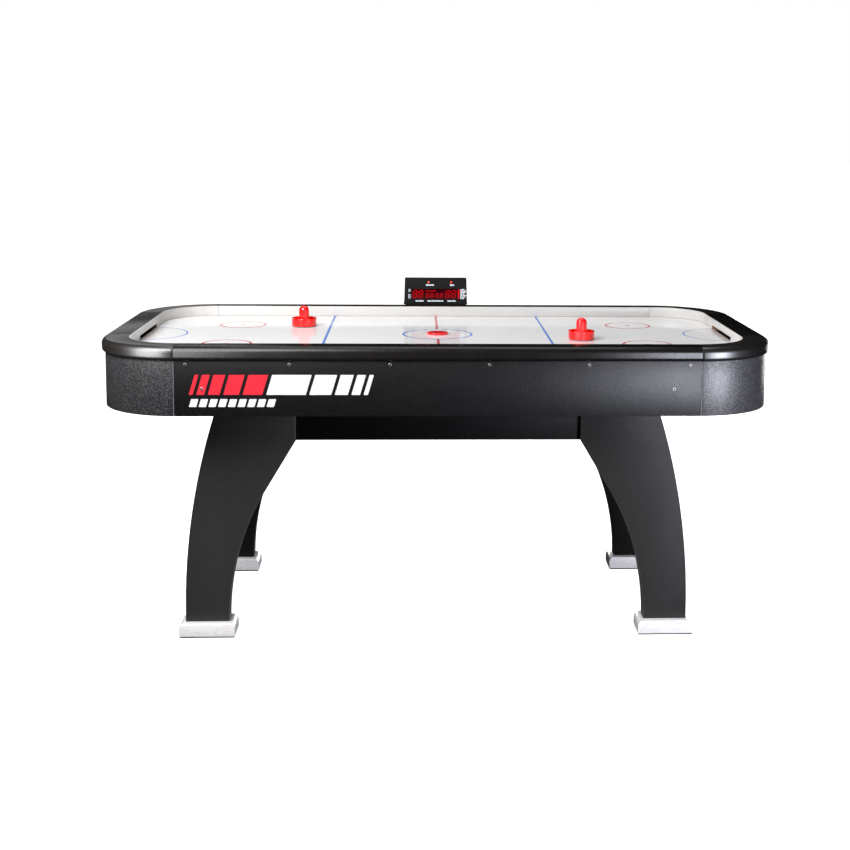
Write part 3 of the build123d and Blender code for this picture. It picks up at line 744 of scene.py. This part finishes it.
# ======== screws ========
def add_screw(bm, x, z, sign):
    """Pan-head screw with a hexagon socket, standing out of a side apron."""
    steps = 36
    head_r, head_t, socket_r, socket_d = 4.2 * MM, 2.6 * MM, 2.9 * MM, 2.5 * MM

    def circle(share):
        return lambda angle: head_r * share

    def hexagon(angle):
        return socket_r * math.cos(math.pi / 6) / math.cos((angle % (math.pi / 3)) - math.pi / 6)

    stations = [(circle(1.0), 0.0), (circle(1.0), head_t * 0.45), (circle(0.93), head_t * 0.78),
                (circle(0.78), head_t), (hexagon, head_t), (hexagon, head_t - socket_d)]
    rings = []
    for radius, out in stations:
        ring = []
        for i in range(steps):
            a = 2 * math.pi * i / steps
            r = radius(a)
            ring.append(bm.verts.new((x + r * math.cos(a), sign * (APRON_Y + out), z + r * math.sin(a))))
        rings.append(ring)
    for station, (lower, upper) in enumerate(zip(rings, rings[1:])):
        for i in range(steps):
            j = (i + 1) % steps
            # the socket's walls and floor get the second material, the painted shade
            face = bm.faces.new((lower[i], lower[j], upper[j], upper[i]))
            face.material_index = 1 if station == len(rings) - 2 else 0
    bm.faces.new(rings[0])
    bm.faces.new(list(reversed(rings[-1]))).material_index = 1


def build_screws():
    """Three pairs of screws along the top of each side apron, and one pair lower down."""
    places = [(s * x, APRON_TOP - SCREW_DROP) for x in SCREW_X for s in (-1, 1)]
    places += [(s * LOW_SCREW_X, APRON_TOP - LOW_SCREW_DROP) for s in (-1, 1)]

    def make(bm):
        for sign in SIDES.values():
            for x, z in places:
                add_screw(bm, x, z, sign)

    piece("apron_screw_heads", make, [screw_steel, screw_socket], "screw_steel", stands_for=["apron_screws"])


# ======== decal ========
def build_decals():
    """Generic slanted speed bars on the front apron, with a thin row under them."""
    out = APRON_Y + 0.15 * MM
    deep = APRON_Y - 0.2 * MM
    left = -0.652
    lean = 0.30
    wide_gap = 9 * MM
    small_gap = 6 * MM
    corner_r = 1.5 * MM

    def bars(start, end, low, high, widths, gap):
        """Slanted bars with the given relative widths between two places."""
        free = (end - start) - gap * (len(widths) - 1) - lean * (high - low)
        unit = free / sum(widths)
        x = start
        for width in widths:
            across = width * unit
            shift = lean * (high - low)
            corners = [(x, low), (x + across, low), (x + across + shift, high), (x + shift, high)]
            yield rounded([(a, b, corner_r) for a, b in corners], 4)
            x += across + gap

    top, low = APRON_TOP - 37 * MM, APRON_TOP - 90 * MM
    small_top, small_low = APRON_TOP - 101 * MM, APRON_TOP - 122 * MM
    red = list(bars(left, -0.446, low, top, (1, 2, 3, 4, 5), wide_gap))
    white = list(bars(-0.452, -0.172, low, top, (9, 5, 3, 2, 1), wide_gap))
    small = list(bars(left, -0.426, small_low, small_top, (1,) * 9, small_gap))
    piece("decal_red_bars", plates(red, -out, -deep), [decal_red], "puck_red")
    piece("decal_white_bars", plates(white + small, -out, -deep), [decal_white], "liner_white")


# ======== legs ========
def leg_outline():
    """The arched leg of the right end as (x, z) points."""
    low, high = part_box("leg_front_right")
    foot_low, foot_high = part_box("foot_front_right")
    middle = (foot_low.x + foot_high.x) / 2
    outer, inner = middle + LEG_END_HALF, middle - LEG_END_HALF
    skirt_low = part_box("skirt_front")[0].z
    steps = 28

    def arc(start, end):
        """Arc that leaves start straight up and ends at end."""
        dx, dz = end[0] - start[0], end[1] - start[1]
        radius = (dx * dx + dz * dz) / (2 * abs(dx))
        side = 1 if dx > 0 else -1
        last = math.asin(dz / radius)
        angles = [last * i / steps for i in range(steps + 1)]
        return [(start[0] + side * radius * (1 - math.cos(a)), start[1] + radius * math.sin(a))
                for a in angles]

    outline = [(LEG_TOP_OUTER_X, high.z), (low.x, high.z), (low.x, skirt_low)]
    outline += list(reversed(arc((inner, low.z), LEG_KNEE)))
    outline += [(outer, low.z)]
    outline += arc((outer, LEG_OUTER_ARC_Z), (LEG_TOP_OUTER_X, APRON_BOTTOM))
    return outline


def build_legs():
    """Legs and feet; gives back those at the front."""
    front = []
    outline = leg_outline()
    for side, y_sign in SIDES.items():
        for end, x_sign in ENDS.items():
            tail = side + "_" + end
            low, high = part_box("leg_" + tail)
            shape = [(x_sign * x, z) for x, z in outline]
            leg = piece("leg_" + tail + "_skin", plates([shape], low.y, high.y),
                        [leg_skin, leg_edge, leg_inner], "leg_black", stands_for=["leg_" + tail],
                        bevel=1.2 * MM, angle=25)
            for polygon in leg.data.polygons:
                facing = polygon.normal.y * y_sign
                if facing < -0.9:  # the face towards the other side's leg
                    polygon.material_index = 2
                elif facing < 0.9:  # the cut edges between the two faces
                    polygon.material_index = 1
            foot = build_foot(tail)
            if side == "front":
                front += [leg, foot]
    return front


def build_foot(tail):
    """Foot block: an outline with its upper ends rounded, pushed across and eased all round."""
    low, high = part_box("foot_" + tail)
    end_round, base_round = 15 * MM, 3 * MM
    outline = rounded([(low.x, low.z, base_round), (high.x, low.z, base_round),
                       (high.x, high.z, end_round), (low.x, high.z, end_round)], 9)
    return piece("foot_" + tail + "_block", plates([outline], low.y, high.y), [foot_silver], "foot_silver",
                 stands_for=["foot_" + tail], bevel=2.4 * MM, segments=4, angle=45)


def build_panels():
    """Dark boards under the aprons, between the legs."""
    for name in ("skirt_front", "skirt_back", "stretcher_left", "stretcher_right"):
        low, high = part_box(name)
        piece(name + "_panel", lambda bm: add_box(bm, low, high), [skirt_skin], "skirt_black",
              stands_for=[name], bevel=1.0 * MM)


# ======== loose playing pieces ========
def dome(radius, shoulder, top, steps=16):
    """Half-ellipse from the shoulder to the crown, as (radius, height) points."""
    rise = top - shoulder
    angles = [math.pi / 2 * i / steps for i in range(1, steps)]
    return [(radius * math.cos(a), shoulder + rise * math.sin(a)) for a in angles] + [(0.0, top)]


def fillet_profile(points, steps=5):
    """Rounds the corners of a (radius, height, fillet) profile that starts and ends on the axis."""
    out = []
    for i, (r, z, fillet) in enumerate(points):
        if fillet <= 0 or i in (0, len(points) - 1):
            out.append((r, z))
            continue
        here = Vector((r, z))
        before = Vector(points[i - 1][:2]) - here
        after = Vector(points[i + 1][:2]) - here
        reach = min(fillet, before.length * 0.45, after.length * 0.45)
        start, end = here + before.normalized() * reach, here + after.normalized() * reach
        for k in range(steps + 1):
            t = k / steps
            point = start * (1 - t) ** 2 + here * (2 * t * (1 - t)) + end * t * t
            out.append((point.x, point.y))
    return out


def build_pusher(end):
    """Pusher: a rimmed dish with a domed knob in its middle, and a felt pad under it."""
    low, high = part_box("pusher_" + end)
    felt_low, felt_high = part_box("pusher_felt_" + end)
    centre = ((low.x + high.x) / 2, (low.y + high.y) / 2, low.z)
    radius = (high.x - low.x) / 2
    tall = high.z - low.z
    rim = 24.4 * MM
    knob = 15.8 * MM
    neck, shoulder = knob - 0.4 * MM, tall - knob
    walls = [(0, 0, 0), (radius - 1.2 * MM, 0, 1.0 * MM), (radius, 1.6 * MM, 1 * MM),
             (radius, rim, 3.0 * MM), (radius - 5.2 * MM, rim, 2.2 * MM),
             (radius - 8.0 * MM, rim * 0.38, 3 * MM), (knob + 1.6 * MM, rim * 0.36, 2.5 * MM),
             (knob, rim * 0.66, 4 * MM)]
    profile = fillet_profile(walls + [(neck, shoulder, 0)], 6)
    profile += dome(neck, shoulder, tall)
    body = "pusher_" + end
    shell = piece("pusher_" + end + "_shell", lambda bm: add_lathe(bm, profile, centre), [red_gloss],
                  "pusher_red", body=body, stands_for=["pusher_" + end], angle=50)
    felt_r = (felt_high.x - felt_low.x) / 2
    thick = felt_high.z - felt_low.z
    disc = [(0, 0), (felt_r - 0.5 * MM, 0), (felt_r, 0.4 * MM), (felt_r, thick - 0.1 * MM),
            (felt_r - 0.3 * MM, thick), (0, thick)]
    base = (centre[0], centre[1], felt_low.z)
    piece("pusher_" + end + "_felt_pad", lambda bm: add_lathe(bm, disc, base), [green_felt], "felt_green",
          body=body, stands_for=["pusher_felt_" + end], angle=50)
    return shell


def build_puck():
    """Flat disc with a low rounded lip."""
    low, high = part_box("puck")
    radius, thick = (high.x - low.x) / 2, high.z - low.z
    lip = 1.1 * MM
    floor = thick - 0.5 * MM
    walls = [(0, 0, 0), (radius - 3 * MM, 0, 1 * MM), (radius, lip, lip), (radius, thick - lip, lip),
             (radius - 3.4 * MM, thick, 1 * MM), (radius - 6 * MM, floor, 1 * MM), (0, floor, 0)]
    centre = ((low.x + high.x) / 2, (low.y + high.y) / 2, low.z)
    return piece("puck_disc", lambda bm: add_lathe(bm, fillet_profile(walls), centre, 112), [puck_red],
                 "puck_red", body="puck", stands_for=["puck"], angle=50)


# ======== scoreboard ========
CASE_LOW, CASE_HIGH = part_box("scoreboard_housing")
CASE_MIDDLE = (CASE_LOW.x + CASE_HIGH.x) / 2
WINDOW_LOW, WINDOW_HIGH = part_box("scoreboard_window")
GLASS_Y = CASE_LOW.y + 1.4 * MM
LIT_FRONT, LIT_BACK = GLASS_Y - 0.25 * MM, GLASS_Y + 0.1 * MM
# Each bar of a digit: how far across and how far up it lies, and whether it is upright.
SEGMENTS = ((0, 1, False), (0, 0, False), (0, -1, False), (-1, 0.5, True), (1, 0.5, True),
            (-1, -0.5, True), (1, -0.5, True))
BIG_DIGIT_X = (-66.2, -48.0, 38.9, 57.8)  # mm from the case's middle
SMALL_DIGIT_X = (-26.6, -12.8, 5.4, 18.8)
SMALL_DIGIT_DROP = 4.6 * MM


def bar(x0, x1, z0, z1):
    """Outline of an upright rectangle."""
    return [(x0, z0), (x1, z0), (x1, z1), (x0, z1)]


def digit_outlines(cx, cz, width, height, stroke, lean=0.14):
    """Outlines of a seven-segment digit with all bars, leaning like a display digit."""
    half_w, half_h = width / 2 - stroke / 2, height / 2 - stroke / 2
    gap = stroke * 0.16
    for across, up, upright in SEGMENTS:
        px, pz = cx + across * half_w, cz + up * half_h
        long = (half_h / 2 if upright else half_w) - gap
        s = stroke / 2
        lozenge = [(-long, 0), (-long + s, s), (long - s, s), (long, 0), (long - s, -s), (-long + s, -s)]
        if upright:
            lozenge = [(b, a) for a, b in reversed(lozenge)]
        yield [(px + a + lean * (pz + b - cz), pz + b) for a, b in lozenge]


def build_case():
    """Housing that narrows a little upwards, with an opening for its window."""
    face = CASE_LOW.y
    middle = CASE_MIDDLE
    half = (CASE_HIGH.x - CASE_LOW.x) / 2
    foot, top = CASE_LOW.z, CASE_HIGH.z
    outline = [(middle - half, foot, 1.3 * MM), (middle + half, foot, 1.3 * MM),
               (middle + half - 2.2 * MM, foot + 6 * MM, 3 * MM), (middle + half - 4.4 * MM, top, 2 * MM),
               (middle - half + 4.4 * MM, top, 2 * MM), (middle - half + 2.2 * MM, foot + 6 * MM, 3 * MM)]
    case = piece("scoreboard_case", plates([rounded(outline, 5)], face, CASE_HIGH.y), [black_case],
                 "board_black", stands_for=["scoreboard_housing"], bevel=0.9 * MM, segments=3)
    edge = 0.3 * MM
    cut(case, (WINDOW_LOW.x - edge, face - 5 * MM, WINDOW_LOW.z - edge),
        (WINDOW_HIGH.x + edge, face + 3.2 * MM, WINDOW_HIGH.z + edge), black_case)


def build_display():
    """Red window, with lit digits, a colon, five squares and a column of status bars."""
    glass_back = CASE_LOW.y + 3.0 * MM
    piece("scoreboard_glass",
          lambda bm: add_box(bm, (WINDOW_LOW.x, GLASS_Y, WINDOW_LOW.z),
                             (WINDOW_HIGH.x, glass_back, WINDOW_HIGH.z)),
          [display_window], "board_window", stands_for=["scoreboard_window", "scoreboard_display"],
          bevel=0.3 * MM)
    middle = CASE_MIDDLE
    level = (WINDOW_LOW.z + WINDOW_HIGH.z) / 2
    lit = []
    for cx in BIG_DIGIT_X:
        lit += digit_outlines(middle + cx * MM, level, 16.2 * MM, 27 * MM, 4.2 * MM)
    for cx in SMALL_DIGIT_X:
        lit += digit_outlines(middle + cx * MM, level - SMALL_DIGIT_DROP, 10.6 * MM, 16.8 * MM, 2.8 * MM)
    dot = 1.3 * MM
    for dz in (-8.4, -1.8):
        x, z = middle - 4.4 * MM, level + dz * MM
        lit.append(bar(x - dot, x + dot, z - dot, z + dot))
    for i in range(5):
        x = middle + (-32.0 + 6.8 * i) * MM
        lit.append(bar(x, x + 4.8 * MM, level + 7.6 * MM, level + 12.4 * MM))
    piece("scoreboard_digits", plates(lit, LIT_FRONT, LIT_BACK), [digit_red], "board_digits")
    right = WINDOW_HIGH.x
    column = [bar(right - 5.0 * MM, right - 0.8 * MM, z * MM + WINDOW_LOW.z, (z + 9.0) * MM + WINDOW_LOW.z)
              for z in (1.6, 12.2, 22.8)]
    piece("scoreboard_status_bars", plates(column, LIT_FRONT, LIT_BACK), [bar_red], "board_digits")


def caption(x0, x1, z, tall, widths):
    """A row of small blocks that stands for a printed caption, between two places in mm."""
    gap = 1.1
    unit = ((x1 - x0) - gap * (len(widths) - 1)) / sum(widths)
    x = x0
    for width in widths:
        yield bar(x * MM, (x + width * unit) * MM, (z - tall / 2) * MM, (z + tall / 2) * MM)
        x += width * unit + gap


def build_captions():
    """Rows of blocks above, under and beside the window."""
    labels = []
    top = CASE_HIGH.z / MM
    left, right = WINDOW_LOW.x / MM, WINDOW_HIGH.x / MM
    for x0, x1, widths in ((-31.5, -6.0, (4, 2, 3)), (46.0, 59.5, (3, 2))):
        labels += caption(x0, x1, top - 21.5, 4.4, widths)
    for x0, x1, widths in ((-64.5, -38.5, (3, 5)), (-26.5, 24.5, (4, 3, 5, 2)), (38.5, 64.5, (4, 3))):
        labels += caption(x0, x1, top - 73.0, 4.4, widths)
    for drop in (36.5, 41.5, 53.5, 58.5, 63.5):
        labels += caption(left - 10.5, left - 3.5, top - drop, 3.2, (2, 1))
    for i in range(7):
        ragged = 15.0 + 3.5 * ((2 * i) % 3)
        widths = (3, 2) if i % 2 else (2, 4)
        labels += caption(right + 2.5, right + ragged, top - 36.0 - 4.8 * i, 3.4, widths)
    face = CASE_LOW.y
    piece("scoreboard_captions", plates(labels, face - 0.15 * MM, face + 0.1 * MM), [label_white],
          "liner_white")


def build_buttons():
    """Domed score buttons that stand out of the case."""
    for end in ENDS:
        name = "score_button_" + end
        low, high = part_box(name)
        radius = (high.x - low.x) / 2
        long = high.y - low.y
        shoulder = long - radius * 0.55
        profile = [(0, 0), (radius, 0), (radius, shoulder)] + dome(radius, shoulder, long, 8)
        turn = Matrix.Translation(((low.x + high.x) / 2, high.y, (low.z + high.z) / 2))
        turn = turn @ Matrix.Rotation(math.radians(90), 4, "X")

        def make(bm):
            add_lathe(bm, profile, steps=32)
            bmesh.ops.transform(bm, matrix=turn, verts=bm.verts)

        piece(name + "_cap", make, [button_gloss], "button_red", body=name, stands_for=[name], angle=50)


def build_scoreboard():
    build_case()
    build_display()
    build_captions()
    build_buttons()


# ======== CAD nodes that stay ========
def finish_cad_nodes():
    """Materials for the frame's own pieces whose shape is already right."""
    choices = [
        (rink_white, ["playfield"]), (rubber, ["foot_pads"]), (screw_steel, ["leg_bolts"]),
        (zinc, ["leg_brackets"]), (black_case, ["scoreboard_bracket"]),
        (black_gloss, ["blower_impeller", "power_switch"]),
        (board_brown, ["plenum_boards", "plenum_braces", "plenum_bottom", "playfield_cleats"]),
        (black_moulded, ["goal_box_left", "goal_box_right", "blower_housing", "blower_guard", "power_panel"])]
    for material, names in choices:
        for name in names:
            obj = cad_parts[name]
            obj.data.materials.clear()
            obj.data.materials.append(material)
            smooth(obj, 30)


# ======== camera, floor and light ========
SENSOR = 36.0  # mm
# Where the camera stands, its yaw, pitch and roll in radians, its lens in mm and its shift.
CAMERA = {"place": (-0.0643, -4.0533, 1.3816), "turn": (0.04634, 0.1196, 0.00901), "lens": 59.234,
          "shift": (-0.0647, -0.1471)}
FLOOR_HALF = 60.0


def build_camera():
    """Studio camera a little left of the table's middle, looking slightly down."""
    data = bpy.data.cameras.new("camera")
    camera = add_object("camera", data)
    data.sensor_width = SENSOR
    data.lens = CAMERA["lens"]
    data.shift_x, data.shift_y = CAMERA["shift"]
    data.clip_end = 100
    yaw, pitch, roll = CAMERA["turn"]
    ahead = Vector((math.sin(yaw) * math.cos(pitch), math.cos(yaw) * math.cos(pitch), -math.sin(pitch)))
    right = Vector((math.cos(yaw), -math.sin(yaw), 0))
    up = right.cross(ahead)
    turned_right = right * math.cos(roll) + up * math.sin(roll)
    turned_up = up * math.cos(roll) - right * math.sin(roll)
    basis = Matrix((turned_right, turned_up, -ahead)).transposed().to_4x4()
    camera.matrix_world = Matrix.Translation(CAMERA["place"]) @ basis
    bpy.context.scene.camera = camera


def area_light(name, place, target, size, power, color=(1, 1, 1)):
    """Rectangular light aimed at a target, which the camera doesn't see."""
    data = bpy.data.lights.new(name, "AREA")
    data.shape = "RECTANGLE"
    data.size, data.size_y = size
    data.energy = power
    data.color = color
    light = add_object(name, data)
    light.location = place
    aim = Vector(target) - Vector(place)
    light.rotation_euler = aim.to_track_quat("-Z", "Y").to_euler()
    light.visible_camera = False
    return light


def light_only(light, *receivers):
    """Keep a light to some objects."""
    lit = bpy.data.collections.new(light.name + "_receivers")
    for obj in receivers:
        lit.objects.link(obj)
    light.light_linking.receiver_collection = lit


def build_floor():
    """Plain pale floor, which neither shows in the table's gloss nor throws light back at it."""
    s = Shader("studio_floor", (0.93, 0.93, 0.93), 0.6)
    s.set("Roughness", s.span(s.noise(3, 2), 0.3, 0.7, 0.55, 0.7))
    mesh = bpy.data.meshes.new("studio_floor")
    half = FLOOR_HALF
    corners = [(-half, -half, 0), (half, -half, 0), (half, half, 0), (-half, half, 0)]
    mesh.from_pydata(corners, [], [(0, 1, 2, 3)])
    mesh.materials.append(s.mat)
    floor = add_object("studio_floor", mesh)
    floor.visible_glossy = False
    floor.visible_diffuse = False
    return floor


def build_backdrop():
    """White world behind the floor, which doesn't light the table or show in its gloss either."""
    world = bpy.data.worlds.new("studio")
    bpy.context.scene.world = world
    world.use_nodes = True
    background = world.node_tree.nodes["Background"]
    background.inputs["Color"].default_value = (1, 1, 1, 1)
    background.inputs["Strength"].default_value = 1.0
    world.cycles_visibility.diffuse = False
    world.cycles_visibility.glossy = False


def build_lights(floor, rails, front_legs, loose_reds):
    """Soft studio lights. Some are kept to the pieces that they are there for."""
    # The key light, and a glow in the front rail and the left corners.
    area_light("left_softbox", (-1.75, -1.75, 2.5), (-0.6, -0.44, 0.6), (2.1, 1.5), 138)
    glow = area_light("left_corner_glow", (-2.3, -2.0, 1.15), (-0.80, -0.36, 0.8), (1.7, 2.0), 145)
    light_only(glow, rails["front", "left"], rails["front"], rails["back", "left"])
    # Low and cool from the right, then overhead, and from behind.
    area_light("right_softbox", (1.75, -1.85, 0.60), (0.7, -0.44, 0.66), (0.8, 0.8), 55, (0.86, 0.88, 1.0))
    area_light("overhead", (0.0, 0.2, 3.3), (0, 0, 0.8), (3.0, 2.0), 40)
    area_light("back_softbox", (-1.7, 3.0, 2.2), (-0.7, 0, 0.8), (1.4, 1.4), 6)
    area_light("back_low", (1.2, 3.0, 0.45), (0, 0.45, 0.5), (3.4, 0.6), 60)
    # A white card that the glossy playfield reflects.
    card = area_light("back_card", (0.0, 4.5, 1.7), (0, 0, 1.0), (9.0, 3.0), 34)
    light_only(card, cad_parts["playfield"])
    # A little light on the front legs and feet from near the floor.
    fill = area_light("low_fill", (-0.22, -0.98, 0.12), (-0.22, -0.33, 0.05), (1.7, 0.12), 2.1,
                      (1.0, 0.985, 0.96))
    light_only(fill, *front_legs)
    # Two upright strips for the highlights of the puck and the pushers.
    for side, x, width in (("left", -1.5, 0.40), ("right", 1.0, 0.32)):
        strip = area_light("strip_" + side, (x, -2.2, 0.75), (0, 0, 0.82), (width, 1.9), 21)
        strip.data.use_shadow = False
        strip.data.cycles.use_multiple_importance_sampling = False
        light_only(strip, *loose_reds)
    # A shadowless wash that makes the floor as white as the world behind it.
    wash = bpy.data.lights.new("floor_wash", "SUN")
    wash.energy = 4.6
    wash.use_shadow = False
    wash.angle = 1.4
    light_only(add_object("floor_wash", wash), floor)


def build_studio(rails, front_legs, loose_reds):
    floor = build_floor()
    build_backdrop()
    build_lights(floor, rails, front_legs, loose_reds)
    bpy.context.scene.view_settings.view_transform = "Standard"
    bpy.context.scene.view_settings.look = "None"


build_camera()
build_studio(build_rails(), build_legs(), [build_pusher(end_name) for end_name in ENDS] + [build_puck()])
build_liners()
build_aprons()
build_screws()
build_decals()
build_panels()
build_scoreboard()
finish_cad_nodes()
